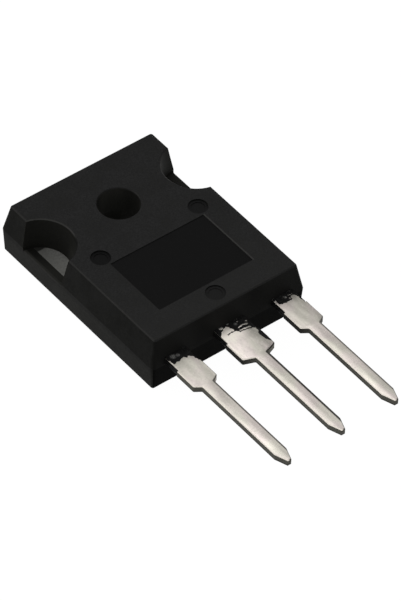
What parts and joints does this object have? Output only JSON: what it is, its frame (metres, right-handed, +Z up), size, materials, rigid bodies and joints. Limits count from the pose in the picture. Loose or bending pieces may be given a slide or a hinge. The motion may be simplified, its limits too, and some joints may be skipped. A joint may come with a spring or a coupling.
{
  "type": "power transistor",
  "caption": "Through-hole power transistor: drafted black epoxy body with moulded mounting hole and side notches, bare metal back tab and flat tinned leads.",
  "frame": {"origin": "centre of the mounting hole on the seating face, which is the back of the package", "axes": "+Z up the mounting hole to the marked front face; the leads point to -Y and the head end is at +Y; the lead row runs along X with the control lead at -X"},
  "size_m": [0.0156, 0.0346, 0.0049],
  "materials": {
    "epoxy": "fine-grained matte moulding compound, black",
    "tinned_copper": "matte tin plating over copper",
    "silicon": "die with an aluminium top metal",
    "solder": "dull solder layer",
    "aluminium_wire": "drawn aluminium wire"
  },
  "bodies": {
    "root": {"mould_body": "epoxy", "tab_with_centre_lead": "tinned_copper", "control_lead": "tinned_copper", "power_lead": "tinned_copper", "die_attach_solder": "solder", "silicon_die": "silicon", "control_bond_wire": "aluminium_wire", "power_bond_wire_1": "aluminium_wire", "power_bond_wire_2": "aluminium_wire", "power_bond_wire_3": "aluminium_wire"}
  },
  "joints": []
}
